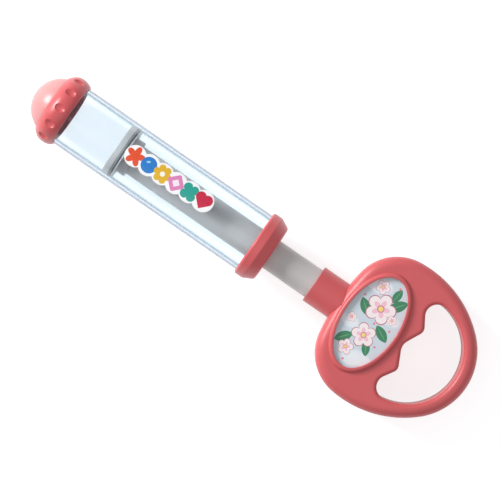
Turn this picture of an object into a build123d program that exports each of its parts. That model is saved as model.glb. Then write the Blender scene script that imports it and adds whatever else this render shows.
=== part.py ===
from build123d import *
from functools import cache
from math import asin, cos, degrees, radians, sin
import os

# Water squirt toy with a pull handle, lying flat on a table. All sizes are millimetres.
# X runs along the toy from the nozzle to the handle, Y runs across it and Z points up.
# Stations along X are counted from the tip of the nozzle, and heights from the toy's axis.
# The last lines move every piece to the frame, whose origin is on the table under the middle.

# Clearances
slide_gap = 0.3
seal_gap = 0.05
seat_gap = 0.05
thread_gap = 0.2

# Barrel
barrel_radius = 20.0
barrel_wall = 2.0
barrel_length = 155.5
neck_length = 7.0
neck_step = 0.7

# Thread between the barrel's neck and the grip ring
thread_pitch = 3.0
thread_turns = 1.5
thread_height = 0.65
thread_root_width = 1.4
thread_crest_width = 0.7
thread_start = 1.4
thread_bury = 0.2

# Nozzle dome
dome_length = 12.3
dome_inset = 1.1
dome_wall = 2.4
jet_radius = 1.5
flange_thickness = 2.0
flange_lip = 1.55

# Grip ring
ring_length = 14.2
ring_rise = 3.1
ring_crest = 7.6
ring_rim = 0.6
ring_lip = 2.0
ring_skirt_wall = 0.9
dent_count = 12
dent_length = 7.6
dent_width = 4.8
dent_depth = 1.3

# Gasket
gasket_thickness = 1.5
gasket_inset = 0.1

# End cap
cap_length = 13.1
cap_rise = 2.2
cap_wall = 3.0
cap_lip = 1.0
cap_band = 5.2
cap_back_drop = 3.5
cap_rounding = 3.0

# Plunger rod and piston
rod_radius = 10.0
rod_wall = 1.5
rod_length = 153.0
rod_exposed = 31.9
piston_gap = 0.4
front_disc = 4.0
groove_width = 2.2
rear_disc = 1.0
hub_length = 5.8
hub_radius = 12.2
spigot_length = 12.0
seal_section = 1.0
groove_play = 0.05
piston_rounding = 0.4

# Rod plug and its screw
plug_length = 12.0
screw_radius = 1.2
screw_head_radius = 2.2
screw_head_height = 1.8
screw_head_rounding = 0.6
screw_length = 12.0
drive_radius = 1.1
drive_depth = 1.0

# Rod socket
socket_radius = 12.4
socket_depth = 18.8
socket_floor = 3.0
socket_neck = 3.9
socket_neck_radius = 7.0
socket_flange = 3.0
socket_flange_radius = 10.2
socket_edge = 0.3
driver_radius = 3.2

# Handle: a flat loop made of two shells that meet on the toy's middle plane
handle_length = 94.9
handle_width = 96.8
handle_thickness = 27.0
front_turn = 9.5
shoulder_turn = 84.0
side_turn = 133.0
rear_share = 0.852
handle_wall = 1.8
handle_overlap = 3.6
outer_rounding = 6.0
inner_rounding = 2.6
grip_bar = 9.1
side_bar = 14.5
finger_valley = 4.8
finger_bump = 2.2
finger_pitch = 14.2
corner_reach = 11.8
corner_margin = 2.8
valley_rounding = 8.0
bump_rounding = 5.0
corner_share = 0.218
tongue_width = 1.0
tongue_height = 1.2
tongue_play = 0.1
cradle_width = 28.0

# Screws that join the shells, placed at shares of the handle's length and of its half width
screw_places = [(0.107, 0.434), (0.322, 0.837), (0.586, 0.818)]
boss_radius = 2.8
column_radius = 3.6
pilot_depth = 8.5
screw_seat = 5.0
head_play = 0.3

# Oval badge on the upper shell, between the handle's front and the finger valley
badge_front_gap = 3.0
badge_rear_gap = 3.1
badge_side_gap = 14.0
bezel_band = 3.1
bezel_height = 2.2
bezel_foot = 1.4
bezel_rounding = 2.0
bezel_inner_rounding = 0.5
card_thickness = 0.8
badge_recess = 1.0

# Sticker on the barrel
sticker_start = 49.2
sticker_spots = 6
sticker_pitch = 9.9
sticker_spot = 6.9
sticker_band = 8.0
sticker_thickness = 0.15
sticker_shift = 2.5
sticker_tilt = 1.0

# Stations along the toy
barrel_front = dome_length + ring_lip + flange_thickness + gasket_thickness
barrel_rear = barrel_front + barrel_length
cap_rear = barrel_rear + cap_wall
cap_front = cap_rear - cap_length
socket_front = cap_rear + rod_exposed
rod_rear = socket_front + socket_depth
rod_front = rod_rear - rod_length
socket_rear = rod_rear + socket_floor
handle_front = socket_rear - handle_overlap
handle_rear = handle_front + handle_length
rear_disc_start = rod_front - hub_length - rear_disc
groove_start = rear_disc_start - groove_width
piston_front = groove_start - front_disc

# Sizes that follow from others
bore_radius = barrel_radius - barrel_wall
neck_radius = barrel_radius - neck_step
dome_radius = barrel_radius - dome_inset
ring_radius = barrel_radius + ring_rise
cap_radius = barrel_radius + cap_rise
cap_back_radius = cap_radius - cap_back_drop
base_radius = (2 * dome_radius * dome_length - dome_length**2) ** 0.5
ring_bore = barrel_radius + thread_gap
rod_bore = rod_radius - rod_wall
ring_rear = dome_length + ring_length
half_thickness = handle_thickness / 2
half_width = handle_width / 2
opening_radius = half_width - side_bar
opening_station = handle_rear - grip_bar - opening_radius
valley_station = opening_station - finger_valley
corner_height = opening_radius + corner_margin
corner_rounding = corner_share * opening_radius
badge_front = handle_front + badge_front_gap + bezel_band
badge_rear = valley_station - badge_rear_gap - bezel_band
badge_width = badge_rear - badge_front
badge_length = 2 * (half_width - badge_side_gap - bezel_band)
seal_radius = bore_radius - seal_gap - seal_section
card_bottom = half_thickness - badge_recess
card_top = card_bottom + card_thickness


def turned(*profile):
    """Solid of revolution about the toy's axis, from points given as station and radius."""
    return revolve(make_face(Polyline(*profile, close=True)), Axis.X)


def rod_along_x(radius, start, end):
    """Round bar on the toy's axis between two stations."""
    return Pos(start, 0, 0) * Rot(0, 90, 0) * Cylinder(
        radius, end - start, align=(Align.CENTER, Align.CENTER, Align.MIN)
    )


def post(radius, bottom, top):
    """Upright round post between two heights."""
    return Pos(0, 0, bottom) * Cylinder(radius, top - bottom, align=(Align.CENTER, Align.CENTER, Align.MIN))


def thread_ridge(start, turns, radius, rise):
    """Helical ridge on a round wall; a negative rise makes it stand inwards."""
    path = Helix(thread_pitch, thread_pitch * turns, radius, center=(start, 0, 0), direction=(1, 0, 0))
    section = Plane(origin=path @ 0, x_dir=(1, 0, 0), z_dir=path % 0)
    bury = -thread_bury if rise > 0 else thread_bury
    outline = Polyline(
        (-thread_root_width / 2, bury),
        (thread_root_width / 2, bury),
        (thread_crest_width / 2, rise),
        (-thread_crest_width / 2, rise),
        close=True,
    )
    return sweep(section * make_face(outline), path=path, is_frenet=True)


def nozzle_dome():
    """Soft domed tip: a hollow cap with the jet hole and a flange that the ring clamps."""
    inner_radius = dome_radius - dome_wall
    skirt_radius = base_radius - dome_wall
    flange_front = dome_length + ring_lip
    flange_rear = flange_front + flange_thickness
    flange_radius = base_radius + flange_lip
    outside = JernArc((0, 0), (0, 1), dome_radius, -degrees(asin(base_radius / dome_radius)))
    inside = JernArc((dome_wall, 0), (0, 1), inner_radius, -degrees(asin(skirt_radius / inner_radius)))
    flange = Polyline(
        outside @ 1,
        (flange_front, base_radius),
        (flange_front, flange_radius),
        (flange_rear, flange_radius),
        (flange_rear, skirt_radius),
        inside @ 1,
    )
    tip = Line((0, 0), (dome_wall, 0))
    profile = make_face([*outside.edges(), *flange.edges(), *inside.edges(), *tip.edges()])
    return revolve(profile, Axis.X) - rod_along_x(jet_radius, 0, 2 * dome_wall)


@cache
def nozzle_ring():
    """Grip ring that screws on the barrel's neck, with finger dents round its crest."""
    lip_radius = base_radius + slide_gap
    back_radius = ring_bore + ring_skirt_wall
    outside = Spline(
        (dome_length, lip_radius + ring_rim),
        (dome_length + ring_crest, ring_radius),
        (ring_rear, back_radius),
        tangents=[(1.0, 1.1), (1, 0), (1.0, -0.75)],
    )
    lip_rear = dome_length + ring_lip
    inside = Polyline(
        (ring_rear, back_radius),
        (ring_rear, ring_bore),
        (lip_rear, ring_bore),
        (lip_rear, lip_radius),
        (dome_length, lip_radius),
        (dome_length, lip_radius + ring_rim),
    )
    ring = revolve(make_face([*outside.edges(), *inside.edges()]), Axis.X)
    bulge = EllipticalCenterArc((0, 0), dent_length / 2, dent_width / 2, start_angle=0, arc_size=180)
    dent = revolve(make_face([*bulge.edges(), Line((-dent_length / 2, 0), (dent_length / 2, 0))]), Axis.X)
    dent_height = ring_radius - dent_depth + dent_width / 2
    dent = Pos(dome_length + ring_crest, 0, dent_height) * dent
    for turn in range(dent_count):
        ring -= Rot(turn * 360 / dent_count, 0, 0) * dent
    first_turn = barrel_front + thread_start + thread_pitch / 2
    rise = neck_radius + thread_gap - ring_bore
    return ring + thread_ridge(first_turn, thread_turns - 0.5, ring_bore, rise)


def nozzle_gasket():
    """Flat sealing ring between the dome's flange and the end of the barrel."""
    outer = neck_radius - gasket_inset
    front = barrel_front - gasket_thickness
    return rod_along_x(outer, front, barrel_front) - rod_along_x(bore_radius, front, barrel_front)


def barrel_tube():
    """Clear tube with a threaded neck at its front end."""
    shoulder = barrel_front + neck_length
    tube = turned(
        (barrel_front, bore_radius),
        (barrel_front, neck_radius),
        (shoulder, neck_radius),
        (shoulder, barrel_radius),
        (barrel_rear, barrel_radius),
        (barrel_rear, bore_radius),
    )
    return tube + thread_ridge(barrel_front + thread_start, thread_turns, neck_radius, thread_height)


def end_cap():
    """Cap bonded over the barrel's rear end, with the hole that guides the rod."""
    seat = barrel_radius + seat_gap
    guide = rod_radius + slide_gap
    profile = make_face(
        Polyline(
            (cap_front, seat),
            (cap_front, cap_radius - cap_lip),
            (cap_front + cap_lip, cap_radius),
            (cap_front + cap_lip + cap_band, cap_radius),
            (cap_rear, cap_back_radius),
            (cap_rear, guide),
            (barrel_rear, guide),
            (barrel_rear, seat),
            close=True,
        )
    )
    back_corner = profile.vertices().sort_by_distance((cap_rear, cap_back_radius, 0))[0]
    return revolve(fillet(back_corner, cap_rounding), Axis.X)


def barrel_sticker():
    """Thin printed sticker wrapped on the barrel, cut out round a row of motifs."""
    length = (sticker_spots - 1) * sticker_pitch
    outline = Rectangle(length, sticker_band)
    for spot in range(sticker_spots):
        outline += Pos(spot * sticker_pitch - length / 2, 0) * Circle(sticker_spot)
    reach = length / 2 + sticker_spot
    middle = barrel_front + sticker_start + reach
    cutter = extrude(Pos(middle, sticker_shift, 0) * Rot(0, 0, sticker_tilt) * outline, 2 * barrel_radius)
    film = rod_along_x(barrel_radius + sticker_thickness, middle - 2 * reach, middle + 2 * reach)
    film -= rod_along_x(barrel_radius, middle - 2 * reach, middle + 2 * reach)
    return film & cutter


def piston_head():
    """Piston: two discs with the seal groove between them, a hub and a spigot in the rod."""
    disc_radius = bore_radius - piston_gap
    groove_floor = seal_radius - seal_section - groove_play
    spigot_radius = rod_bore - seat_gap
    groove_end = groove_start + groove_width
    profile = make_face(
        Polyline(
            (piston_front, 0),
            (piston_front, disc_radius),
            (groove_start, disc_radius),
            (groove_start, groove_floor),
            (groove_end, groove_floor),
            (groove_end, disc_radius),
            (groove_end + rear_disc, disc_radius),
            (groove_end + rear_disc, hub_radius),
            (rod_front, hub_radius),
            (rod_front, spigot_radius),
            (rod_front + spigot_length, spigot_radius),
            (rod_front + spigot_length, 0),
            close=True,
        )
    )
    rims = [
        profile.vertices().sort_by_distance((piston_front, disc_radius, 0))[0],
        profile.vertices().sort_by_distance((rod_front, hub_radius, 0))[0],
    ]
    return revolve(fillet(rims, piston_rounding), Axis.X)


def piston_seal():
    """Rubber ring in the piston's groove."""
    middle = groove_start + groove_width / 2
    return Pos(middle, 0, 0) * Rot(0, 90, 0) * Torus(seal_radius, seal_section)


def plunger_rod():
    """Hollow rod between the piston and the handle."""
    return rod_along_x(rod_radius, rod_front, rod_rear) - rod_along_x(rod_bore, rod_front, rod_rear)


def rod_plug():
    """Plug bonded in the rod's rear end, which takes the screw of the socket."""
    plug = rod_along_x(rod_bore - seat_gap, rod_rear - plug_length, rod_rear)
    pilot = rod_along_x(screw_radius + seat_gap, rod_rear - screw_length + socket_floor, rod_rear)
    return plug - pilot


def screw():
    """Pan-head screw with its head's underside at height 0 and its shank pointing up."""
    head = post(screw_head_radius, -screw_head_height, 0)
    head = fillet(head.edges().group_by(Axis.Z)[0], screw_head_rounding)
    drive = post(drive_radius, -screw_head_height, -screw_head_height + drive_depth)
    return head + post(screw_radius, 0, screw_length) - drive


def rod_screw():
    """Screw through the socket's floor into the rod's plug."""
    return Pos(socket_rear, 0, 0) * Rot(0, -90, 0) * screw()


def rod_socket():
    """Round socket that holds the rod, with a neck and flange caught inside the handle."""
    flange_front = socket_rear + socket_neck
    flange_rear = flange_front + socket_flange
    bore = rod_radius + seat_gap
    return turned(
        (socket_front, bore),
        (socket_front, socket_radius - socket_edge),
        (socket_front + socket_edge, socket_radius),
        (socket_rear, socket_radius),
        (socket_rear, socket_neck_radius),
        (flange_front, socket_neck_radius),
        (flange_front, socket_flange_radius),
        (flange_rear, socket_flange_radius),
        (flange_rear, driver_radius),
        (socket_rear, driver_radius),
        (socket_rear, screw_radius + head_play),
        (rod_rear, screw_radius + head_play),
        (rod_rear, bore),
    )


def handle_arcs():
    """Turn and radius of the four arcs that make half of the handle's outline.

    The rear's radius is a share of the half width, and the side's radius brings the outline to
    that half width. The front's and the shoulder's radii then close it at the handle's length.
    """
    turns = [0.0, radians(front_turn), radians(shoulder_turn), radians(side_turn)]
    sine = [sin(turn) for turn in turns]
    cosine = [cos(turn) for turn in turns]
    rear_radius = rear_share * half_width
    side_radius = (half_width - rear_radius * sine[3]) / (1 - sine[3])

    # What is left for the front and the shoulder, across the toy and along it
    across = half_width - side_radius * (1 - sine[2])
    along = handle_length - side_radius * (cosine[2] - cosine[3]) - rear_radius * (cosine[3] + 1)
    front_along = 1 - cosine[1]
    shoulder_across = sine[2] - sine[1]
    shoulder_along = cosine[1] - cosine[2]
    scale = sine[1] * shoulder_along - front_along * shoulder_across
    front_radius = (across * shoulder_along - along * shoulder_across) / scale
    shoulder_radius = (sine[1] * along - front_along * across) / scale
    return [
        (front_turn, front_radius),
        (shoulder_turn - front_turn, shoulder_radius),
        (side_turn - shoulder_turn, side_radius),
        (180 - side_turn, rear_radius),
    ]


def handle_outline():
    """Egg-shaped outline of the handle: tangent arcs from the front to the rear, mirrored."""
    start = Vector(handle_front, 0)
    heading = Vector(0, 1)
    arcs = []
    for turn, radius in handle_arcs():
        arc = JernArc(start, heading, radius, -turn)
        arcs += arc.edges()
        start = arc @ 1
        heading = arc % 1
    return make_face([*arcs, *[mirror(arc, about=Plane.XZ) for arc in arcs]])


def hand_opening():
    """Opening for the hand: a disc whose front side has room for the fingers."""
    centre = opening_station
    fingers = Polyline(
        (valley_station, 0),
        (centre + finger_bump, finger_pitch),
        (centre - corner_reach, corner_height),
        (handle_rear, corner_height),
        (handle_rear, -corner_height),
        (centre - corner_reach, -corner_height),
        (centre + finger_bump, -finger_pitch),
        close=True,
    )
    opening = (Pos(centre, 0) * Circle(opening_radius) & make_face(fingers)).faces()[0]
    valley = opening.vertices().sort_by_distance((valley_station, 0, 0))[:1]
    opening = fillet(valley, valley_rounding)
    for side in (1, -1):
        bump = opening.vertices().sort_by_distance((centre + finger_bump, side * finger_pitch, 0))[0]
        opening = fillet(bump, bump_rounding)
    for side in (1, -1):
        corner = opening.vertices().sort_by_distance((centre - corner_reach, side * opening_radius, 0))[0]
        opening = fillet(corner, corner_rounding)
    return opening


@cache
def loop_face(inset):
    """The handle's loop as a flat face, with all its walls moved in by the inset."""
    if inset == 0:
        return handle_outline() - hand_opening()
    return offset(handle_outline(), -inset) - offset(hand_opening(), inset)


def half_loop(inset, outer_round, inner_round):
    """Upper half of the loop as a solid with rounded top edges."""
    block = extrude(loop_face(inset), half_thickness - inset)
    top = block.faces().sort_by(Axis.Z)[-1]
    block = fillet(top.outer_wire().edges(), outer_round)
    top = block.faces().filter_by(Plane.XY).sort_by(Axis.Z)[-1]
    return fillet(top.inner_wires()[0].edges(), inner_round)


@cache
def handle_solid():
    """Half of the handle without its hollow."""
    return half_loop(0, outer_rounding, inner_rounding)


@cache
def handle_half():
    """Half of the hollow handle, with the cradle rib that holds the socket's neck."""
    hollow = half_loop(handle_wall, outer_rounding - handle_wall, inner_rounding - handle_wall)
    shell = handle_solid() - hollow
    rib = Pos(socket_rear + seat_gap, 0, 0) * Box(
        socket_neck - 2 * seat_gap,
        cradle_width,
        half_thickness,
        align=(Align.MIN, Align.CENTER, Align.MIN),
    )
    shell += rib & handle_solid()
    shell -= rod_along_x(socket_neck_radius + seat_gap, socket_rear, socket_rear + socket_neck)
    return shell - rod_along_x(socket_radius + seat_gap, socket_front, socket_rear)


def at_screws(piece):
    """Copies of the piece at every screw place, on both sides of the axis."""
    return [
        Pos(handle_front + along * handle_length, side * out * half_width, 0) * piece
        for along, out in screw_places
        for side in (1, -1)
    ]


def tongue_band(play, height):
    """Band inside the handle's walls: the tongue, or the groove that it fits in."""
    edge = handle_wall - tongue_width - play
    band = extrude(loop_face(edge), height) - extrude(loop_face(handle_wall), height)
    front_gap = rod_along_x(socket_radius + seat_gap, socket_front, socket_rear + socket_neck)
    return mirror(band, about=Plane.XY) - front_gap


def oval(grow):
    """Oval of the badge's picture, made larger by the given margin."""
    centre = Pos((badge_front + badge_rear) / 2, 0)
    return centre * Ellipse(badge_width / 2 + grow, badge_length / 2 + grow)


def handle_front_shell():
    """Upper shell with the badge's seat, the screw bosses and the tongue."""
    shell = handle_half()
    for boss in at_screws(post(boss_radius, 0, half_thickness)):
        shell += boss & handle_solid()
    for pilot in at_screws(post(screw_radius + seat_gap, 0, pilot_depth)):
        shell -= pilot
    shell += tongue_band(0, tongue_height)
    return shell - Pos(0, 0, card_bottom) * extrude(oval(bezel_foot + seat_gap), badge_recess)


def handle_back_shell():
    """Lower shell with the columns that the screws pass through and the tongue's groove."""
    shell = handle_half()
    for column in at_screws(post(column_radius, 0, half_thickness)):
        shell += column & handle_solid()
    shell = mirror(shell, about=Plane.XY)
    shell -= tongue_band(tongue_play, tongue_height + tongue_play)
    for shank in at_screws(post(screw_radius + seat_gap, -half_thickness, 0)):
        shell -= shank
    for head in at_screws(post(screw_head_radius + head_play, -half_thickness, -screw_seat)):
        shell -= head
    return shell


def handle_screws():
    """The screws that hold the two shells together."""
    return Compound(children=at_screws(Pos(0, 0, -screw_seat) * screw()))


def badge_card():
    """Oval picture card in the upper shell's seat."""
    return Pos(0, 0, card_bottom) * extrude(oval(bezel_foot), card_thickness)


def badge_bezel():
    """Raised oval frame round the picture, seated in the shell and on its face."""
    foot = Pos(0, 0, card_top) * extrude(oval(bezel_foot), half_thickness - card_top)
    band = Pos(0, 0, half_thickness) * extrude(oval(bezel_band), bezel_height)
    band = fillet(band.edges().group_by(Axis.Z)[-1], bezel_rounding)
    window = Pos(0, 0, card_top) * extrude(oval(0), half_thickness + bezel_height - card_top)
    bezel = foot + band - window
    rim = bezel.edges().group_by(Axis.Z)[-1].sort_by(SortBy.LENGTH)[0]
    return fillet(rim, bezel_inner_rounding)


makers = [
    nozzle_dome,
    nozzle_ring,
    nozzle_gasket,
    barrel_tube,
    end_cap,
    barrel_sticker,
    piston_head,
    piston_seal,
    plunger_rod,
    rod_plug,
    rod_screw,
    rod_socket,
    handle_front_shell,
    handle_back_shell,
    handle_screws,
    badge_card,
    badge_bezel,
]

# The toy lies on its grip ring, so the ring's lowest point is the table.
axis_height = -nozzle_ring().bounding_box().min.Z
place = Pos(-handle_rear / 2, 0, axis_height)

os.makedirs("parts", exist_ok=True)
for maker in makers:
    piece = place * maker()
    piece.label = maker.__name__
    export_step(piece, f"parts/{maker.__name__}.step")
    print(maker.__name__, len(piece.solids()), round(piece.volume, 1), piece.is_valid)
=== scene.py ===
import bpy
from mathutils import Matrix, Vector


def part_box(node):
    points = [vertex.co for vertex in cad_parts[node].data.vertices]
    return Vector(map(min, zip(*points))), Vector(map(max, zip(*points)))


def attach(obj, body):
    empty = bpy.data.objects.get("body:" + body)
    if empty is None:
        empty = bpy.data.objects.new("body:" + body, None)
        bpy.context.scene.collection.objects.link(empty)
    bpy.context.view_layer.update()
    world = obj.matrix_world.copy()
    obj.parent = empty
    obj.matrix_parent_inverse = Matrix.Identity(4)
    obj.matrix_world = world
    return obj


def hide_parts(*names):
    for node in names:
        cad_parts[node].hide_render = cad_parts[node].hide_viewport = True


bl_info = {
    "name": "Water squirt toy",
    "version": (1, 0, 0),
    "blender": (4, 5, 0),
    "location": "3D View > Sidebar > Squirt toy",
    "description": "Finishes the pull-handle water squirt toy and lights it from above",
    "category": "Object",
}

from math import atan, cos, pi, radians, sin

import bpy
from mathutils import Vector

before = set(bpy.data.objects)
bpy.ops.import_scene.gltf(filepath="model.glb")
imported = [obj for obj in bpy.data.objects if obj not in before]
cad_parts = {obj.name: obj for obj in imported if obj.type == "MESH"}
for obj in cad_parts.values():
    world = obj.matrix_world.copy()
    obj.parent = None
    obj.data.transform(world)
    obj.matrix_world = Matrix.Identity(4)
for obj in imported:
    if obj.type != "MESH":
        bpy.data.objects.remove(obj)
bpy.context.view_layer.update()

# Places read from the frame, in metres. The toy's axis runs along X above the table.
TUBE_LOW, TUBE_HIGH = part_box("barrel_tube")
AXIS_HEIGHT = (TUBE_LOW.z + TUBE_HIGH.z) / 2
CARD_LOW, CARD_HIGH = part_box("badge_card")
CARD_CENTRE = (CARD_LOW + CARD_HIGH) / 2
STICKER_LOW, STICKER_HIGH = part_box("barrel_sticker")
STICKER_CENTRE = (STICKER_LOW + STICKER_HIGH) / 2
RING_LOW, RING_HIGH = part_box("nozzle_ring")
CAP_LOW, CAP_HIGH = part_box("end_cap")
BEZEL_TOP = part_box("badge_bezel")[1].z
SHELL_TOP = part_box("handle_front_shell")[1].z

MM = 0.001

# Thread: steps in one turn, how deep its foot sits in the wall, and its play
THREAD_STEPS = 64
THREAD_BURY = 0.2 * MM
THREAD_PLAY = 0.2 * MM

# Faces that meet at less than this angle are shaded as one
SMOOTH_ANGLE = radians(35)


def srgb(red, green, blue):
    """Linear colour from the 0 to 255 values of a paint chart."""
    values = [channel / 255 for channel in (red, green, blue)]
    linear = [v / 12.92 if v <= 0.04045 else ((v + 0.055) / 1.055) ** 2.4 for v in values]
    return (*linear, 1.0)


def colour_property(name, description, default):
    return bpy.props.FloatVectorProperty(
        name=name, description=description, default=default, subtype="COLOR", size=4, min=0, max=1
    )


class SquirtToyFinish(bpy.types.PropertyGroup):
    """Colours and surface qualities of the toy's materials."""

    coral: colour_property("Coral", "Moulded plastic of the handle, socket, cap and ring", srgb(207, 91, 94))
    soft_coral: colour_property("Soft coral", "Softer plastic of the domed nozzle", srgb(217, 149, 148))
    rod_grey: colour_property("Rod grey", "Milky plastic of the rod and piston", srgb(203, 199, 197))
    seal_grey: colour_property("Seal grey", "Rubber of the piston's ring", srgb(120, 120, 122))
    badge_sky: colour_property("Badge sky", "Ground colour of the badge's print", srgb(201, 214, 223))
    blossom: colour_property("Blossom", "Petals on the badge", srgb(246, 232, 234))
    blossom_line: colour_property("Blossom line", "Outline of the petals", srgb(186, 96, 122))
    leaf_green: colour_property("Leaf green", "Leaves on the badge", srgb(16, 122, 76))
    coral_roughness: bpy.props.FloatProperty(
        name="Coral roughness", description="How matt the coral plastic is", default=0.4, min=0, max=1
    )
    mould_grain: bpy.props.FloatProperty(
        name="Mould grain", description="Strength of the fine grain from the mould", default=0.06, min=0, max=1
    )
    tube_roughness: bpy.props.FloatProperty(
        name="Tube roughness", description="Haze on the clear tube", default=0.03, min=0, max=1
    )


def length_property(name, description, millimetres):
    return bpy.props.FloatProperty(name=name, description=description, default=millimetres * MM, unit="LENGTH")


class SquirtToyShapes(bpy.types.PropertyGroup):
    """Sizes of the pieces that are modelled here. Their places and outer sizes come from the frame."""

    ring_radius: length_property("Ring radius", "Radius of the grip ring at its widest place", 23.1)
    ring_bore: length_property("Ring bore", "Radius of the grip ring's hole for the barrel", 20.2)
    ring_lip_bore: length_property("Ring lip bore", "Radius of the hole round the dome", 18.09)
    ring_lip: length_property("Ring lip", "Length of the lip that holds the dome", 2.0)
    ring_rim: length_property("Ring rim", "Width of the ring's front edge", 0.6)
    ring_crest: length_property("Ring crest", "Distance from the ring's front to its widest place", 7.6)
    ring_back_wall: length_property("Ring back wall", "Wall at the ring's rear edge", 0.9)
    dent_reach: length_property("Dent reach", "Distance from the ring's front to the middle of a dent", 6.7)
    dent_length: length_property("Dent length", "Length of a finger dent along the toy", 10.0)
    dent_width: length_property("Dent width", "Width of a finger dent round the ring", 6.2)
    dent_depth: length_property("Dent depth", "Depth of a finger dent", 1.5)
    dent_edge: length_property("Dent edge", "Softening of a dent's edge", 0.2)
    tube_radius: length_property("Tube radius", "Outer radius of the clear tube", 20.0)
    tube_bore: length_property("Tube bore", "Inner radius of the clear tube", 18.0)
    neck_radius: length_property("Neck radius", "Radius of the tube's threaded neck", 19.3)
    neck_length: length_property("Neck length", "Length of the tube's threaded neck", 7.0)
    tube_edge: length_property("Tube edge", "Softening of the tube's edges", 0.15)
    thread_pitch: length_property("Thread pitch", "Advance of the thread in one turn", 3.0)
    thread_start: length_property("Thread start", "Distance from the tube's front to the thread", 1.4)
    thread_rise: length_property("Thread rise", "Height of the thread", 0.65)
    thread_root: length_property("Thread root", "Width of the thread's foot", 1.4)
    thread_crest: length_property("Thread crest", "Width of the thread's top", 0.7)
    thread_turns: bpy.props.FloatProperty(name="Thread turns", description="Turns of the thread", default=1.5)
    dent_count: bpy.props.IntProperty(name="Dents", description="Finger dents round the ring", default=12, min=3)
    cap_seat: length_property("Cap seat", "Radius of the cap's socket on the barrel", 20.05)
    cap_guide: length_property("Cap guide", "Radius of the hole that guides the rod", 10.3)
    cap_wall: length_property("Cap wall", "Thickness of the cap's rear wall", 3.0)
    cap_lip: length_property("Cap lip", "Bevel at the cap's front edge", 1.0)
    cap_band: length_property("Cap band", "Length of the cap's straight band", 5.2)
    cap_back_drop: length_property("Cap back drop", "How much the cap's back is smaller in radius", 3.5)
    bezel_band: length_property("Frame band", "Width of the badge's raised frame", 3.1)
    bezel_foot: length_property("Frame foot", "Width of the frame's foot in the shell", 1.4)
    bezel_flat: length_property("Frame flat", "Width of the frame's level top", 0.9)
    bezel_rim: length_property("Frame rim", "Height of the frame's edge on the handle", 0.2)
    bezel_soft: length_property("Frame inner rounding", "Softening of the edge round the picture", 0.5)


class SquirtToyStage(bpy.types.PropertyGroup):
    """Camera, lamps and floor."""

    view_width: bpy.props.FloatProperty(
        name="View width", description="Width seen at the toy's axis", default=308.5 * MM, unit="LENGTH"
    )
    view_roll: bpy.props.FloatProperty(
        name="View roll", description="Turn of the camera about the vertical", default=radians(34.65), subtype="ANGLE"
    )
    view_centre: bpy.props.FloatVectorProperty(
        name="View centre", description="Point under the camera", default=(3.3 * MM, -5.3 * MM), size=2, unit="LENGTH"
    )
    camera_height: bpy.props.FloatProperty(
        name="Camera height", description="Height of the camera above the axis", default=1.714, unit="LENGTH"
    )
    key_power: bpy.props.FloatProperty(
        name="Key power", description="Power of the large lamp at the nozzle's end", default=54.0, min=0, unit="POWER"
    )
    fill_power: bpy.props.FloatProperty(
        name="Fill power", description="Power of the lamp overhead", default=1.6, min=0, unit="POWER"
    )
    room_light: bpy.props.FloatProperty(
        name="Room light", description="Strength of the even light from the room", default=0.47, min=0
    )
    floor_size: bpy.props.FloatProperty(
        name="Floor size", description="Side of the square floor", default=6.0, unit="LENGTH"
    )


# Material graphs


class Graph:
    """A material's nodes, with short calls for the ones that are used here."""

    def __init__(self, name):
        self.material = bpy.data.materials.new(name)
        self.material.use_nodes = True
        self.tree = self.material.node_tree
        self.shader = self.tree.nodes["Principled BSDF"]
        self.output = self.tree.nodes["Material Output"]
        self.place = self.tree.nodes.new("ShaderNodeTexCoord").outputs["Object"]

    def add(self, kind, **settings):
        node = self.tree.nodes.new(kind)
        for key, value in settings.items():
            setattr(node, key, value)
        return node

    def plug(self, socket, value):
        """Link an output to the socket, or set a plain value on it."""
        if isinstance(value, bpy.types.NodeSocket):
            self.tree.links.new(value, socket)
        else:
            socket.default_value = value

    def set(self, **values):
        """Values or links for the shader's own sockets, named with spaces as underscores."""
        for key, value in values.items():
            self.plug(self.shader.inputs[key.replace("_", " ")], value)

    def math(self, operation, *values, clamp=False):
        node = self.add("ShaderNodeMath", operation=operation, use_clamp=clamp)
        for socket, value in zip(node.inputs, values):
            self.plug(socket, value)
        return node.outputs[0]

    def vector(self, operation, *values):
        node = self.add("ShaderNodeVectorMath", operation=operation)
        for socket, value in zip(node.inputs, values):
            self.plug(socket, value)
        return node.outputs["Value" if operation in ("LENGTH", "DISTANCE") else "Vector"]

    def split(self, vector):
        return self.add_linked("ShaderNodeSeparateXYZ", vector).outputs

    def add_linked(self, kind, value):
        node = self.add(kind)
        self.plug(node.inputs[0], value)
        return node

    def noise(self, scale, detail=3.0, roughness=0.55, stretch=None):
        """Noise in the object's own space, scaled per metre, and stretched where asked."""
        node = self.add("ShaderNodeTexNoise")
        place = self.vector("MULTIPLY", self.place, stretch) if stretch else self.place
        self.plug(node.inputs["Vector"], place)
        self.plug(node.inputs["Scale"], scale)
        self.plug(node.inputs["Detail"], detail)
        self.plug(node.inputs["Roughness"], roughness)
        return node.outputs["Fac"]

    def span(self, value, low, high, to_low=0.0, to_high=1.0):
        """The value's range, mapped and clamped to another range."""
        node = self.add("ShaderNodeMapRange")
        for socket, item in zip(node.inputs, (value, low, high, to_low, to_high)):
            self.plug(socket, item)
        return node.outputs[0]

    def mix(self, factor, first, second, blend="MIX"):
        node = self.add("ShaderNodeMix", data_type="RGBA", blend_type=blend)
        self.plug(node.inputs["Factor"], factor)
        self.plug(node.inputs["A"], first)
        self.plug(node.inputs["B"], second)
        return node.outputs["Result"]

    def bump(self, height, strength, distance):
        node = self.add("ShaderNodeBump")
        self.plug(node.inputs["Height"], height)
        self.plug(node.inputs["Strength"], strength)
        self.plug(node.inputs["Distance"], distance)
        return node.outputs["Normal"]


def tinted(colour, factor):
    """The colour, lighter or darker by a factor."""
    return (*[min(1.0, channel * factor) for channel in colour[:3]], 1.0)


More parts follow.
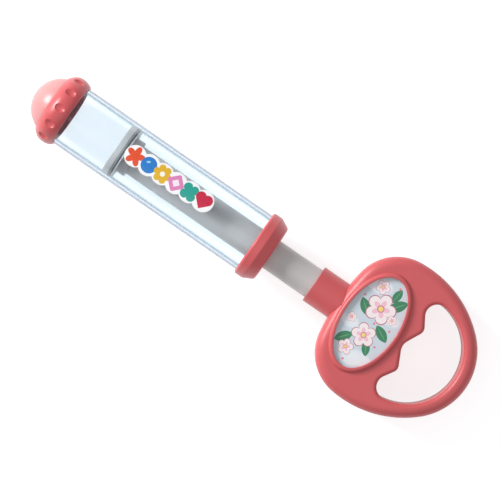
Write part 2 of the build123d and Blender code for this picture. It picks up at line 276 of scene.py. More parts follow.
def moulded_plastic(name, colour, roughness, grain, subsurface=0.0, seam=None):
    """Satin injection-moulded plastic: soft drifts of colour, fine mould grain and faint scuffs.

    A seam is the height of a fine joint line that runs round the piece.
    """
    graph = Graph(name)
    drift = graph.noise(26.0, 2.0)
    tone = graph.mix(graph.span(drift, 0.35, 0.65), tinted(colour, 0.965), tinted(colour, 1.035))
    fine = graph.noise(2600.0, 2.0)
    scuffs = graph.noise(240.0, 5.0, 0.7, stretch=(1.0, 0.25, 1.0))
    worn = graph.span(scuffs, 0.58, 0.72)
    matt = graph.span(graph.noise(90.0, 3.0), 0.3, 0.7, roughness - 0.04, roughness + 0.04)
    tone = graph.mix(graph.math("MULTIPLY", worn, 0.02), tone, tinted(colour, 1.2))
    relief = graph.math("ADD", fine, graph.math("MULTIPLY", scuffs, 0.06))
    if seam is not None:
        height = graph.split(graph.place)[2]
        away = graph.math("ABSOLUTE", graph.math("SUBTRACT", height, seam))
        line = graph.span(away, 0.06 * MM, 0.16 * MM, 1.0, 0.0)
        tone = graph.mix(graph.math("MULTIPLY", line, 0.6), tone, tinted(colour, 0.45))
        relief = graph.math("SUBTRACT", relief, graph.math("MULTIPLY", line, 3.0))
    graph.set(
        Base_Color=tone,
        Roughness=graph.math("ADD", matt, graph.math("MULTIPLY", worn, 0.03)),
        Normal=graph.bump(relief, grain, 0.0002),
        Subsurface_Weight=subsurface,
        Subsurface_Radius=(1.0, 0.45, 0.4),
        Subsurface_Scale=0.005,
        Specular_IOR_Level=0.5,
    )
    return graph.material


def clear_plastic(name, roughness):
    """Clear tube plastic with a cool tint, faint flow lines and haze, which lets light through, with painted shade
    along its outline.
    """
    graph = Graph(name)
    lines = graph.noise(60.0, 2.0, stretch=(0.15, 1.0, 1.0))
    # Painted shade along the tube's outline: where the surface turns away from the view, the colour goes bluer in a
    # band and a blue-grey edge surface covers the outline itself.
    facing = graph.add("ShaderNodeLayerWeight")
    facing.inputs["Blend"].default_value = 0.5
    facing = facing.outputs["Facing"]
    rim = graph.span(facing, 0.52, 0.68)
    tone = graph.mix(graph.span(lines, 0.3, 0.7), srgb(236, 243, 247), srgb(240, 246, 250))
    tone = graph.mix(graph.span(facing, 0.3, 0.5), tone, srgb(214, 232, 244))
    graph.set(
        Base_Color=tone,
        Roughness=graph.span(graph.noise(140.0), 0.3, 0.7, roughness * 0.6, roughness * 1.4),
        Normal=graph.bump(lines, 0.01, 0.0004),
        Transmission_Weight=1.0,
        IOR=1.47,
    )
    passing = graph.add("ShaderNodeBsdfTransparent")
    graph.plug(passing.inputs["Color"], srgb(250, 252, 253))
    light = graph.add("ShaderNodeLightPath")
    blend = graph.add("ShaderNodeMixShader")
    graph.plug(blend.inputs[0], light.outputs["Is Shadow Ray"])
    graph.plug(blend.inputs[2], passing.outputs[0])
    # Blue-grey edge surface that paints the shade line along the tube's outline
    edge = graph.add("ShaderNodeBsdfPrincipled")
    graph.plug(edge.inputs["Base Color"], srgb(146, 164, 188))
    graph.plug(edge.inputs["Roughness"], 0.25)
    body = graph.add("ShaderNodeMixShader")
    graph.plug(body.inputs[0], graph.math("MULTIPLY", rim, 0.85))
    graph.plug(body.inputs[1], graph.shader.outputs[0])
    graph.plug(body.inputs[2], edge.outputs[0])
    graph.plug(blend.inputs[1], body.outputs[0])
    graph.plug(graph.output.inputs["Surface"], blend.outputs[0])
    return graph.material


def milky_plastic(name, colour):
    """Cloudy grey-white plastic of the rod and piston, with drawing lines along the toy."""
    graph = Graph(name)
    cloud = graph.noise(40.0, 3.0)
    streaks = graph.noise(700.0, 3.0, stretch=(0.03, 1.0, 1.0))
    tone = graph.mix(graph.span(cloud, 0.3, 0.7), tinted(colour, 0.94), tinted(colour, 1.06))
    graph.set(
        Base_Color=graph.mix(graph.math("MULTIPLY", streaks, 0.25), tone, tinted(colour, 1.2)),
        Roughness=graph.span(streaks, 0.3, 0.7, 0.3, 0.42),
        Normal=graph.bump(streaks, 0.08, 0.0002),
        Subsurface_Weight=0.3,
        Subsurface_Radius=(1.0, 1.0, 1.0),
        Subsurface_Scale=0.004,
        Transmission_Weight=0.05,
        IOR=1.45,
    )
    return graph.material


def seal_rubber(name, colour):
    """Matt rubber with fine speckle and moulding texture."""
    graph = Graph(name)
    speckle = graph.noise(1500.0, 4.0, 0.7)
    graph.set(
        Base_Color=graph.mix(graph.span(speckle, 0.35, 0.7), tinted(colour, 0.8), tinted(colour, 1.2)),
        Roughness=graph.span(speckle, 0.3, 0.7, 0.55, 0.75),
        Normal=graph.bump(speckle, 0.15, 0.0002),
    )
    return graph.material


def zinc_steel(name):
    """Zinc-plated screw steel with turning marks and dull patches."""
    graph = Graph(name)
    patches = graph.noise(900.0, 4.0)
    graph.set(
        Base_Color=graph.mix(graph.span(patches, 0.35, 0.7), srgb(176, 178, 182), srgb(208, 209, 212)),
        Metallic=1.0,
        Roughness=graph.span(patches, 0.3, 0.7, 0.25, 0.42),
        Normal=graph.bump(graph.noise(3200.0, 2.0), 0.1, 0.0001),
    )
    return graph.material


class Print(Graph):
    """A printed surface: flat shapes laid over each other, placed in plan from a centre."""

    edge = 0.12 * MM

    def __init__(self, name, centre, ground):
        super().__init__(name)
        self.plan = self.vector("SUBTRACT", self.place, (centre[0], centre[1], 0.0))
        self.colour = ground

    def inside(self, distance):
        """Mask that is 1 where the signed distance is below zero, with a soft printed edge."""
        return self.span(distance, -self.edge / 2, self.edge / 2, 1.0, 0.0)

    def lay(self, mask, colour):
        self.colour = self.mix(mask, self.colour, colour)

    def local(self, x, y, turn=0.0):
        """Coordinates across and up, about a point, turned by an angle."""
        across, up, _ = self.split(self.vector("SUBTRACT", self.plan, (x, y, 0.0)))
        if turn == 0.0:
            return across, up
        turned_across = self.math(
            "ADD", self.math("MULTIPLY", across, cos(turn)), self.math("MULTIPLY", up, sin(turn))
        )
        turned_up = self.math(
            "SUBTRACT", self.math("MULTIPLY", up, cos(turn)), self.math("MULTIPLY", across, sin(turn))
        )
        return turned_across, turned_up

    def ellipse(self, x, y, half_across, half_up, turn=0.0):
        """Signed distance, near enough, to an ellipse."""
        across, up = self.local(x, y, turn)
        scaled_across = self.math("DIVIDE", across, half_across)
        scaled_up = self.math("DIVIDE", up, half_up)
        squares = self.math("ADD", self.math("POWER", scaled_across, 2), self.math("POWER", scaled_up, 2))
        reach = self.math("SUBTRACT", self.math("SQRT", squares), 1.0)
        return self.math("MULTIPLY", reach, min(half_across, half_up))

    def petals(self, x, y, radius, count, depth, turn=0.0, power=1.0):
        """Signed distance to a flower or star whose radius swings with the angle."""
        across, up = self.local(x, y, turn)
        angle = self.math("ARCTAN2", up, across)
        swing = self.math("ABSOLUTE", self.math("COSINE", self.math("MULTIPLY", angle, count / 2)))
        swing = self.math("POWER", swing, power)
        edge_radius = self.math("MULTIPLY_ADD", swing, depth * radius, (1 - depth) * radius)
        squares = self.math("ADD", self.math("POWER", across, 2), self.math("POWER", up, 2))
        return self.math("SUBTRACT", self.math("SQRT", squares), edge_radius)

    def disc(self, x, y, radius):
        return self.ellipse(x, y, radius, radius)

    def rounded_square(self, x, y, half, corner, turn=0.0):
        across, up = self.local(x, y, turn)
        beyond = [
            self.math("MAXIMUM", self.math("SUBTRACT", self.math("ABSOLUTE", side), half - corner), 0.0)
            for side in (across, up)
        ]
        squares = self.math("ADD", self.math("POWER", beyond[0], 2), self.math("POWER", beyond[1], 2))
        return self.math("SUBTRACT", self.math("SQRT", squares), corner)

    def heart(self, x, y, size, turn=0.0):
        """Signed distance to a heart: two discs and a square on its corner."""
        lobe = size * 0.5
        lobes = [self.local_disc(x, y, side * lobe * 0.707, lobe * 0.5, lobe * 1.0, turn) for side in (1, -1)]
        body_x = x + sin(turn) * lobe * 0.207
        body_y = y - cos(turn) * lobe * 0.207
        body = self.rounded_square(body_x, body_y, lobe, lobe * 0.08, turn + pi / 4)
        return self.math("MINIMUM", body, self.math("MINIMUM", *lobes))

    def local_disc(self, x, y, along, up, radius, turn):
        """Disc whose centre is given in coordinates turned about a point."""
        centre_x = x + along * cos(turn) - up * sin(turn)
        centre_y = y + along * sin(turn) + up * cos(turn)
        return self.disc(centre_x, centre_y, radius)


def blossom(print_, x, y, radius, turn, petal, line):
    """Five-petal blossom with an outline, blushed petals and a dotted middle."""
    shape = print_.petals(x, y, radius, 5, 0.42, turn, 0.6)
    print_.lay(print_.inside(print_.math("SUBTRACT", shape, radius * 0.07)), line)
    print_.lay(print_.inside(shape), petal)
    blush = print_.petals(x, y, radius * 0.62, 5, 0.6, turn, 1.2)
    print_.lay(print_.inside(blush), srgb(243, 190, 205))
    print_.lay(print_.inside(print_.disc(x, y, radius * 0.24)), line)
    print_.lay(print_.inside(print_.disc(x, y, radius * 0.18)), srgb(246, 214, 120))


def leaf(print_, x, y, length, turn, green):
    """Pointed leaf with a lighter vein."""
    half_length = length / 2
    radius = length * 0.62
    bend = (radius**2 - half_length**2) ** 0.5
    sides = [print_.local_disc(x, y, 0.0, side * bend, radius, turn) for side in (1, -1)]
    shape = print_.math("MAXIMUM", *sides)
    print_.lay(print_.inside(shape), green)
    vein = print_.ellipse(x, y, half_length * 0.78, length * 0.018, turn)
    print_.lay(print_.inside(vein), srgb(96, 172, 122))


def badge_print(name, finish):
    """Oval card print: blossoms and leaves over a pale sky with soft clouds."""
    card = Print(name, CARD_CENTRE, tuple(finish.badge_sky))
    for x, y, half_across, half_up in (
        (-9, 21, 7, 4), (-5, 23, 5, 4), (9, 8, 6, 3.4), (-11, -6, 6, 3.6), (7, -22, 8, 4), (2, -25, 6, 4),
    ):
        cloud = card.ellipse(x * MM, y * MM, half_across * MM, half_up * MM)
        soft = card.span(cloud, -0.8 * MM, 0.8 * MM, 0.85, 0.0)
        card.lay(soft, srgb(232, 236, 240))
    green = tuple(finish.leaf_green)
    for x, y, length, turn in (
        (8.5, 17.5, 13, 52), (-8.2, 6.5, 12, 140), (9.5, -2.0, 12, -28), (-9.0, -16.0, 12, -130),
        (4.5, 22.5, 10, 84), (6.5, -14.5, 10, -60),
    ):
        leaf(card, x * MM, y * MM, length * MM, radians(turn), green)
    petal = tuple(finish.blossom)
    line = tuple(finish.blossom_line)
    for x, y, radius, turn in (
        (0.5, 10.5, 9.2, 18), (0.8, -8.6, 7.4, 50), (-5.8, 22.4, 4.4, 5), (-4.4, -20.6, 4.8, 30),
        (10.2, 8.4, 3.0, 0), (-11.6, -3.4, 3.0, 40),
    ):
        blossom(card, x * MM, y * MM, radius * MM, radians(turn), petal, line)
    for x, y in ((-12.5, 12.5), (12.6, 2.0), (3.6, 27.2), (10.6, -11.0), (-1.6, -27.6), (2.2, 0.8)):
        card.lay(card.inside(card.disc(x * MM, y * MM, 0.75 * MM)), srgb(230, 120, 140))
    dots = card.noise(2200.0, 1.0)
    card.set(
        Base_Color=card.mix(card.math("MULTIPLY", dots, 0.06), card.colour, srgb(255, 255, 255)),
        Roughness=card.span(card.noise(300.0), 0.3, 0.7, 0.2, 0.3),
        Coat_Weight=0.4,
        Coat_Roughness=0.08,
    )
    return card.material


def sticker_print(name):
    """White vinyl sticker with a row of six plain shapes: star, ball, flower, tile, clover, heart."""
    pitch = 9.9 * MM
    tilt = radians(1.0)
    film = Print(name, STICKER_CENTRE, srgb(250, 250, 250))
    places = [((step - 2.5) * pitch * cos(tilt), (step - 2.5) * pitch * sin(tilt)) for step in range(6)]
    star = film.petals(*places[0], 6.3 * MM, 5, 0.48, radians(90), 1.3)
    film.lay(film.inside(star), srgb(228, 70, 6))
    film.lay(film.inside(film.disc(*places[1], 5.1 * MM)), srgb(0, 120, 200))
    glint = film.ellipse(places[1][0] - 1.2 * MM, places[1][1] + 1.5 * MM, 1.3 * MM, 0.7 * MM, radians(35))
    film.lay(film.inside(glint), srgb(150, 205, 240))
    film.lay(film.inside(film.petals(*places[2], 5.9 * MM, 6, 0.32, 0.0, 0.6)), srgb(226, 178, 4))
    film.lay(film.inside(film.disc(*places[2], 1.6 * MM)), srgb(250, 246, 230))
    film.lay(film.inside(film.rounded_square(*places[3], 4.3 * MM, 1.2 * MM, radians(45))), srgb(224, 128, 184))
    film.lay(film.inside(film.rounded_square(*places[3], 1.9 * MM, 0.5 * MM, radians(45))), srgb(250, 232, 243))
    film.lay(film.inside(film.petals(*places[4], 6.0 * MM, 4, 0.42, radians(45), 0.6)), srgb(0, 160, 144))
    film.lay(film.inside(film.heart(places[5][0], places[5][1], 6.6 * MM)), srgb(200, 0, 60))
    gloss = film.noise(260.0)
    film.set(
        Base_Color=film.mix(film.math("MULTIPLY", film.noise(1800.0, 1.0), 0.04), film.colour, srgb(236, 238, 240)),
        Roughness=film.span(gloss, 0.3, 0.7, 0.24, 0.34),
        Normal=film.bump(gloss, 0.04, 0.0003),
        Coat_Weight=0.3,
        Coat_Roughness=0.1,
    )
    return film.material


# Pieces


def dress(names, material):
    """Give CAD nodes a material and smooth, clean shading."""
    for name in names:
        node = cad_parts[name]
        node.data.materials.clear()
        node.data.materials.append(material)
        weld = node.modifiers.new("Weld", "WELD")
        weld.merge_threshold = 0.000002
        even_normals(node)


def even_normals(piece):
    """Shade by the larger faces, so long walls stay straight beside small roundings."""
    normals = piece.modifiers.new("Even normals", "WEIGHTED_NORMAL")
    normals.keep_sharp = True
    normals.weight = 50


def finish_settings():
    return bpy.context.scene.squirt_toy_finish


def shape_settings():
    return bpy.context.scene.squirt_toy_shapes


def start_fresh():
    """Object mode with nothing selected."""
    if bpy.context.mode != "OBJECT":
        bpy.ops.object.mode_set(mode="OBJECT")
    bpy.ops.object.select_all(action="DESELECT")


def softened(corners, steps=6):
    """Points of a closed outline. Each corner is (along, out, reach) and is rounded off by its reach."""
    points = []
    for index, (along, out, reach) in enumerate(corners):
        corner = Vector((along, out))
        if reach == 0:
            points.append(corner)
            continue
        before = Vector(corners[index - 1][:2]) - corner
        after = Vector(corners[(index + 1) % len(corners)][:2]) - corner
        start = corner + before.normalized() * reach
        end = corner + after.normalized() * reach
        for step in range(steps + 1):
            t = step / steps
            points.append(start * (1 - t) ** 2 + corner * 2 * t * (1 - t) + end * t**2)
    return points


def curve_between(start, start_slope, end, end_slope, steps):
    """Points on a smooth curve between two (along, out) places that leaves and arrives at given slopes."""
    along, out = end[0] - start[0], end[1] - start[1]
    points = []
    for step in range(steps + 1):
        t = step / steps
        rise = (2 * t**3 - 3 * t**2 + 1) * start[1] + (3 * t**2 - 2 * t**3) * end[1]
        rise += ((t**3 - 2 * t**2 + t) * start_slope + (t**3 - t**2) * end_slope) * along
        points.append((start[0] + t * along, rise))
    return points


def close_band():
    """Join the first and last loop of a band in edit mode, merge doubles and face everything outwards."""
    bpy.ops.mesh.select_all(action="DESELECT")
    bpy.ops.mesh.select_mode(type="EDGE")
    bpy.ops.mesh.select_non_manifold(
        extend=False, use_wire=False, use_multi_face=False, use_non_contiguous=False, use_verts=False
    )
    bpy.ops.mesh.bridge_edge_loops()
    bpy.ops.mesh.select_mode(type="VERT")
    bpy.ops.mesh.select_all(action="SELECT")
    bpy.ops.mesh.remove_doubles(threshold=0.000001)
    bpy.ops.mesh.normals_make_consistent(inside=False)
    bpy.ops.object.mode_set(mode="OBJECT")


def turned_piece(name, outline, segments=144):
    """Piece turned about the toy's axis from a closed outline of (station, radius) points."""
    start_fresh()
    station, radius = outline[0]
    bpy.ops.mesh.primitive_circle_add(
        vertices=segments, radius=radius, location=(station, 0, AXIS_HEIGHT), rotation=(0, pi / 2, 0)
    )
    piece = bpy.context.object
    piece.name = name
    bpy.ops.object.transform_apply(location=True, rotation=True, scale=True)
    bpy.ops.object.mode_set(mode="EDIT")
    bpy.ops.mesh.select_all(action="SELECT")
    for next_station, next_radius in outline[1:]:
        bpy.ops.mesh.extrude_region_move(TRANSFORM_OT_translate={"value": (next_station - station, 0, 0)})
        scale = next_radius / radius
        bpy.ops.transform.resize(value=(1, scale, scale), center_override=(next_station, 0, AXIS_HEIGHT))
        station, radius = next_station, next_radius
    close_band()
    return piece


def oval_piece(name, outline, centre, half_x, half_y, segments=160):
    """Oval frame from a closed outline of (distance outside the oval, height) points."""
    start_fresh()
    out, height = outline[0]
    bpy.ops.mesh.primitive_circle_add(vertices=segments, radius=1, location=(centre.x, centre.y, height))
    piece = bpy.context.object
    piece.name = name
    piece.scale = (half_x + out, half_y + out, 1)
    bpy.ops.object.transform_apply(location=True, rotation=True, scale=True)
    bpy.ops.object.mode_set(mode="EDIT")
    bpy.ops.mesh.select_all(action="SELECT")
    for next_out, next_height in outline[1:]:
        bpy.ops.mesh.extrude_region_move(TRANSFORM_OT_translate={"value": (0, 0, next_height - height)})
        bpy.ops.transform.resize(
            value=((half_x + next_out) / (half_x + out), (half_y + next_out) / (half_y + out), 1),
            center_override=(centre.x, centre.y, next_height),
        )
        out, height = next_out, next_height
    close_band()
    return piece


def finish_piece(piece, material, body, slot, *nodes):
    """Smooth shading, material, body and the CAD nodes that the piece stands for."""
    start_fresh()
    piece.select_set(True)
    bpy.context.view_layer.objects.active = piece
    bpy.ops.object.shade_smooth_by_angle(angle=SMOOTH_ANGLE)
    even_normals(piece)
    piece.data.materials.clear()
    piece.data.materials.append(material)
    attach(piece, body)
    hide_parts(*nodes)


def apply_modifiers(piece):
    start_fresh()
    piece.select_set(True)
    bpy.context.view_layer.objects.active = piece
    for modifier in list(piece.modifiers):
        bpy.ops.object.modifier_apply(modifier=modifier.name)


def grip_ring_outline(shapes):
    """The ring's section: lip, swelling outside with its crest, and the bore."""
    front, rear = RING_LOW.x, RING_HIGH.x
    crest = (front + shapes.ring_crest, shapes.ring_radius)
    rim = (front, shapes.ring_lip_bore + shapes.ring_rim)
    back = (rear, shapes.ring_bore + shapes.ring_back_wall)
    outside = curve_between(rim, 1.35, crest, 0.0, 10) + curve_between(crest, 0.0, back, -0.75, 8)[1:]
    lip_rear = front + shapes.ring_lip
    inside = [(rear, shapes.ring_bore), (lip_rear, shapes.ring_bore), (lip_rear, shapes.ring_lip_bore)]
    return outside + inside + [(front, shapes.ring_lip_bore)]


def cut_dents(ring, shapes):
    """Scoop the finger dents out of the ring's crest and soften their edges."""
    station = RING_LOW.x + shapes.dent_reach
    height = AXIS_HEIGHT + shapes.ring_radius - shapes.dent_depth + shapes.dent_width / 2
    start_fresh()
    bpy.ops.mesh.primitive_uv_sphere_add(segments=40, ring_count=20, radius=0.5, location=(station, 0, height))
    cutter = bpy.context.object
    cutter.scale = (shapes.dent_length, shapes.dent_width, shapes.dent_width)
    bpy.ops.object.transform_apply(location=True, rotation=True, scale=True)
    cutters = [cutter]
    for _ in range(shapes.dent_count - 1):
        bpy.ops.object.duplicate()
        cutters.append(bpy.context.object)
        bpy.ops.object.mode_set(mode="EDIT")
        bpy.ops.mesh.select_all(action="SELECT")
        bpy.ops.transform.rotate(
            value=2 * pi / shapes.dent_count, orient_axis="X", center_override=(station, 0, AXIS_HEIGHT)
        )
        bpy.ops.object.mode_set(mode="OBJECT")
    start_fresh()
    for cutter in cutters:
        cutter.select_set(True)
    bpy.context.view_layer.objects.active = cutters[0]
    bpy.ops.object.join()
    cut = ring.modifiers.new("Dents", "BOOLEAN")
    cut.operation = "DIFFERENCE"
    cut.object = cutters[0]
    cut.solver = "EXACT"
    soften = ring.modifiers.new("Soft edges", "BEVEL")
    soften.limit_method = "ANGLE"
    soften.angle_limit = radians(32)
    soften.width = shapes.dent_edge
    soften.segments = 3
    apply_modifiers(ring)
    start_fresh()
    cutters[0].select_set(True)
    bpy.ops.object.delete()


def add_thread(piece, start, radius, rise, turns, shapes):
    """Join a helical ridge to a round wall. A negative rise makes it stand inwards."""
    start_fresh()
    bury = -THREAD_BURY if rise > 0 else THREAD_BURY
    bpy.ops.mesh.primitive_plane_add(
        size=1, location=(start, 0, AXIS_HEIGHT + radius + (bury + rise) / 2), rotation=(pi / 2, 0, 0)
    )
    ridge = bpy.context.object
    ridge.scale = (shapes.thread_crest, abs(rise - bury), 1)
    bpy.ops.object.transform_apply(location=True, rotation=True, scale=True)
    for corner in ridge.data.vertices:
        height = corner.co.z - AXIS_HEIGHT - radius
        corner.select = abs(height - bury) < abs(height - rise)
    bpy.ops.object.mode_set(mode="EDIT")
    bpy.ops.transform.resize(
        value=(shapes.thread_root / shapes.thread_crest, 1, 1), center_override=(start, 0, AXIS_HEIGHT)
    )
    bpy.ops.mesh.select_all(action="SELECT")
    advance = shapes.thread_pitch / THREAD_STEPS
    for _ in range(round(turns * THREAD_STEPS)):
        bpy.ops.mesh.extrude_region_move(TRANSFORM_OT_translate={"value": (advance, 0, 0)})
        bpy.ops.transform.rotate(
            value=2 * pi / THREAD_STEPS, orient_axis="X", center_override=(start, 0, AXIS_HEIGHT)
        )
    bpy.ops.mesh.select_all(action="SELECT")
    bpy.ops.mesh.normals_make_consistent(inside=False)
    bpy.ops.object.mode_set(mode="OBJECT")
    join = piece.modifiers.new("Thread", "BOOLEAN")
    join.operation = "UNION"
    join.object = ridge
    join.solver = "EXACT"
    apply_modifiers(piece)
    start_fresh()
    ridge.select_set(True)
    bpy.ops.object.delete()


def clear_tube(shapes):
    """Clear tube with its threaded neck."""
    front, rear = TUBE_LOW.x, TUBE_HIGH.x
    radius = shapes.tube_radius
    shoulder = front + shapes.neck_length
    edge = shapes.tube_edge
    outline = softened(
        [
            (front, shapes.tube_bore, edge),
            (front, shapes.neck_radius, edge),
            (shoulder, shapes.neck_radius, 0),
            (shoulder, radius, edge),
            (rear, radius, edge),
            (rear, shapes.tube_bore, edge),
        ],
        steps=3,
    )
    tube = turned_piece("barrel_body", outline, segments=240)
    start = front + shapes.thread_start
    add_thread(tube, start, shapes.neck_radius, shapes.thread_rise, shapes.thread_turns, shapes)
    return tube


def end_cap_outline(shapes):
    """The cap's section: straight band, sloping back, guide hole and seat."""
    front, rear = CAP_LOW.x, CAP_HIGH.x
    radius = (CAP_HIGH.z - CAP_LOW.z) / 2
    step = rear - shapes.cap_wall
    lip = shapes.cap_lip
    return softened(
        [
            (front, shapes.cap_seat, 0.15 * MM),
            (front, radius - lip, 0.3 * MM),
            (front + lip, radius, 0.35 * MM),
            (front + lip + shapes.cap_band, radius, 0.45 * MM),
            (rear, radius - shapes.cap_back_drop, 1.7 * MM),
            (rear, shapes.cap_guide, 0.4 * MM),
            (step, shapes.cap_guide, 0),
            (step, shapes.cap_seat, 0),
        ]
    )


def bezel_outline(shapes):
    """The badge frame's section, as distance outside the picture's oval and height.

    Its top is level beside the picture and falls away in a curve to the handle.
    """
    card_top, top = CARD_HIGH.z, BEZEL_TOP
    inner = softened([(0, card_top, 0), (0, top, shapes.bezel_soft), (shapes.bezel_flat, top, 0)])[:-1]
    crest, rim = (shapes.bezel_flat, top), (shapes.bezel_band, SHELL_TOP + shapes.bezel_rim)
    slope = curve_between(crest, 0.0, rim, -2.2, 12)
    foot = [(shapes.bezel_band, SHELL_TOP), (shapes.bezel_foot, SHELL_TOP), (shapes.bezel_foot, card_top)]
    return inner + slope + foot


class SQUIRTTOY_OT_handle(bpy.types.Operator):
    """Coral plastic on the two handle shells, the badge frame and the rod socket"""

    bl_idname = "squirt_toy.handle"
    bl_label = "Handle, badge frame and socket"

    def execute(self, context):
        finish = finish_settings()
        colour = tuple(finish.coral)
        grain = finish.mould_grain
        shell = moulded_plastic("coral_handle", colour, finish.coral_roughness, grain, seam=AXIS_HEIGHT)
        dress(["handle_front_shell", "handle_back_shell"], shell)
        trim = moulded_plastic("coral_trim", tinted(colour, 0.97), finish.coral_roughness - 0.04, grain)
        dress(["rod_socket"], trim)

        shapes = shape_settings()
        half_x = (CARD_HIGH.x - CARD_LOW.x) / 2 - shapes.bezel_foot
        half_y = (CARD_HIGH.y - CARD_LOW.y) / 2 - shapes.bezel_foot
        bezel = oval_piece("badge_frame", bezel_outline(shapes), CARD_CENTRE, half_x, half_y)
        finish_piece(bezel, trim, "plunger", "coral_plastic", "badge_bezel")
        return {"FINISHED"}


class SQUIRTTOY_OT_nozzle(bpy.types.Operator):
    """Soft dome, grip ring and gasket"""

    bl_idname = "squirt_toy.nozzle"
    bl_label = "Nozzle dome, ring and gasket"

    def execute(self, context):
        finish = finish_settings()
        colour = tuple(finish.coral)
        soft = moulded_plastic("soft_coral_dome", tuple(finish.soft_coral), 0.34, finish.mould_grain, 0.2)
        dress(["nozzle_dome"], soft)
        coral = moulded_plastic("coral_ring", tinted(colour, 0.97), 0.32, finish.mould_grain, 0.25)
        shapes = shape_settings()
        ring = turned_piece("grip_ring", grip_ring_outline(shapes), segments=180)
        cut_dents(ring, shapes)
        start = TUBE_LOW.x + shapes.thread_start + shapes.thread_pitch / 2
        inward = shapes.neck_radius + THREAD_PLAY - shapes.ring_bore
        add_thread(ring, start, shapes.ring_bore, inward, shapes.thread_turns - 0.5, shapes)
        finish_piece(ring, coral, "ring", "coral_plastic", "nozzle_ring")
        dress(["nozzle_gasket"], seal_rubber("gasket_rubber", tuple(finish.seal_grey)))
        return {"FINISHED"}


class SQUIRTTOY_OT_barrel(bpy.types.Operator):
    """Clear tube, end cap and sticker"""

    bl_idname = "squirt_toy.barrel"
    bl_label = "Clear tube, end cap and sticker"

    def execute(self, context):
        finish = finish_settings()
        colour = tuple(finish.coral)
        clear = clear_plastic("clear_tube", finish.tube_roughness)
        finish_piece(clear_tube(shape_settings()), clear, "barrel", "clear_plastic", "barrel_tube")
        coral = moulded_plastic("coral_cap", tinted(colour, 1.02), 0.34, finish.mould_grain)
        cap = turned_piece("barrel_cap", end_cap_outline(shape_settings()))
        finish_piece(cap, coral, "barrel", "coral_plastic", "end_cap")
        dress(["barrel_sticker"], sticker_print("sticker_vinyl"))
        return {"FINISHED"}


class SQUIRTTOY_OT_plunger(bpy.types.Operator):
    """Milky rod, plug and piston, with the rubber seal"""

    bl_idname = "squirt_toy.plunger"
    bl_label = "Rod, piston and seal"

    def execute(self, context):
        finish = finish_settings()
        milky = milky_plastic("milky_rod", tuple(finish.rod_grey))
        dress(["plunger_rod", "piston_head", "rod_plug"], milky)
        dress(["piston_seal"], seal_rubber("seal_rubber", tuple(finish.seal_grey)))
        return {"FINISHED"}


class SQUIRTTOY_OT_screws(bpy.types.Operator):
    """Zinc steel on the screws"""

    bl_idname = "squirt_toy.screws"
    bl_label = "Screws"

    def execute(self, context):
        dress(["handle_screws", "rod_screw"], zinc_steel("zinc_steel"))
        return {"FINISHED"}


class SQUIRTTOY_OT_badge(bpy.types.Operator):
    """Printed card under the badge frame"""

    bl_idname = "squirt_toy.badge"
    bl_label = "Badge card"

    def execute(self, context):
        dress(["badge_card"], badge_print("badge_print", finish_settings()))
        return {"FINISHED"}


# Stage


def add_lamp(name, place, target, size, power):
    """Square lamp that faces a target."""
    bpy.ops.object.light_add(type="AREA", location=place)
    lamp = bpy.context.object
    lamp.name = name
    lamp.rotation_euler = (Vector(target) - Vector(place)).to_track_quat("-Z", "Y").to_euler()
    lamp.data.shape = "SQUARE"
    lamp.data.size = size
    lamp.data.energy = power
    return lamp


def floor_material():
    """Matt pale floor that shows white to the camera and keeps the object's shadow."""
    graph = Graph("pale_floor")
    mottle = graph.noise(3.0, 3.0)
    pale = graph.mix(graph.span(mottle, 0.3, 0.7), srgb(226, 226, 227), srgb(231, 231, 231))
    path = graph.add("ShaderNodeLightPath")
    seen = graph.math("MAXIMUM", path.outputs["Is Camera Ray"], path.outputs["Is Glossy Ray"])
    through = graph.math("MULTIPLY", path.outputs["Is Transmission Ray"], 0.3)
    graph.set(
        Base_Color=graph.mix(seen, pale, srgb(196, 197, 198)),
        Roughness=graph.span(mottle, 0.3, 0.7, 0.85, 0.95),
        Emission_Color=(1.0, 1.0, 1.0, 1.0),
        Emission_Strength=graph.math("MULTIPLY_ADD", seen, 0.72, through),
    )
    return graph.material


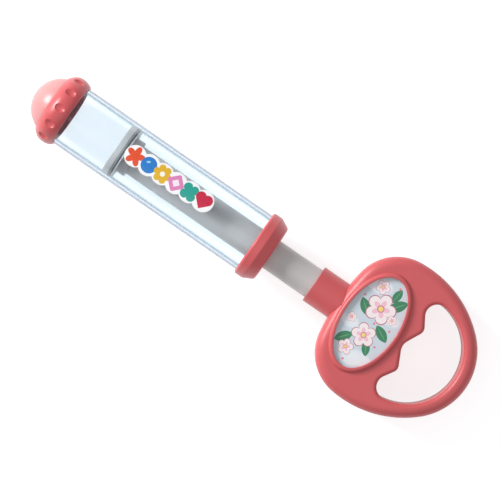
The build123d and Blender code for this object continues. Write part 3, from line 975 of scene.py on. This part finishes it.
class SQUIRTTOY_OT_stage(bpy.types.Operator):
    """Camera above the toy, a large lamp at the nozzle's end, and a pale floor"""

    bl_idname = "squirt_toy.stage"
    bl_label = "Camera, lamps and floor"

    def execute(self, context):
        stage = context.scene.squirt_toy_stage
        bpy.ops.object.select_all(action="DESELECT")
        bpy.ops.mesh.primitive_plane_add(size=stage.floor_size, location=(0, 0, 0))
        floor = context.object
        floor.name = "floor"
        floor.data.materials.append(floor_material())

        centre_x, centre_y = stage.view_centre
        bpy.ops.object.camera_add(
            location=(centre_x, centre_y, AXIS_HEIGHT + stage.camera_height), rotation=(0, 0, stage.view_roll)
        )
        camera = context.object
        camera.name = "camera"
        camera.data.angle = 2 * atan(stage.view_width / 2 / stage.camera_height)
        camera.data.clip_end = 20
        context.scene.camera = camera

        target = (0.0, 0.0, AXIS_HEIGHT)
        add_lamp("key_lamp", (-2.0, 0.05, 1.05), target, 0.8, stage.key_power)
        add_lamp("fill_lamp", (0.35, -0.25, 1.3), target, 1.2, stage.fill_power)

        world = bpy.data.worlds.new("room")
        world.use_nodes = True
        world.node_tree.nodes["Background"].inputs["Color"].default_value = (0.96, 0.98, 1.0, 1.0)
        world.node_tree.nodes["Background"].inputs["Strength"].default_value = stage.room_light
        context.scene.world = world
        context.scene.view_settings.view_transform = "Standard"
        return {"FINISHED"}


class SQUIRTTOY_PT_panel(bpy.types.Panel):
    """Steps that finish the toy, in order"""

    bl_idname = "SQUIRTTOY_PT_panel"
    bl_label = "Water squirt toy"
    bl_space_type = "VIEW_3D"
    bl_region_type = "UI"
    bl_category = "Squirt toy"

    def draw(self, context):
        for step in STEPS:
            self.layout.operator(step.bl_idname)
        scene = context.scene
        for group in (scene.squirt_toy_finish, scene.squirt_toy_shapes, scene.squirt_toy_stage):
            box = self.layout.box()
            for name in group.__annotations__:
                box.prop(group, name)


STEPS = (
    SQUIRTTOY_OT_handle,
    SQUIRTTOY_OT_nozzle,
    SQUIRTTOY_OT_barrel,
    SQUIRTTOY_OT_plunger,
    SQUIRTTOY_OT_screws,
    SQUIRTTOY_OT_badge,
    SQUIRTTOY_OT_stage,
)
CLASSES = (SquirtToyFinish, SquirtToyShapes, SquirtToyStage, *STEPS, SQUIRTTOY_PT_panel)


def register():
    for cls in CLASSES:
        bpy.utils.register_class(cls)
    bpy.types.Scene.squirt_toy_finish = bpy.props.PointerProperty(type=SquirtToyFinish)
    bpy.types.Scene.squirt_toy_shapes = bpy.props.PointerProperty(type=SquirtToyShapes)
    bpy.types.Scene.squirt_toy_stage = bpy.props.PointerProperty(type=SquirtToyStage)


def unregister():
    del bpy.types.Scene.squirt_toy_stage
    del bpy.types.Scene.squirt_toy_shapes
    del bpy.types.Scene.squirt_toy_finish
    for cls in reversed(CLASSES):
        bpy.utils.unregister_class(cls)


def main():
    """Run every step in order."""
    register()
    bpy.ops.squirt_toy.handle()
    bpy.ops.squirt_toy.nozzle()
    bpy.ops.squirt_toy.barrel()
    bpy.ops.squirt_toy.plunger()
    bpy.ops.squirt_toy.screws()
    bpy.ops.squirt_toy.badge()
    bpy.ops.squirt_toy.stage()


if __name__ == "__main__":
    main()
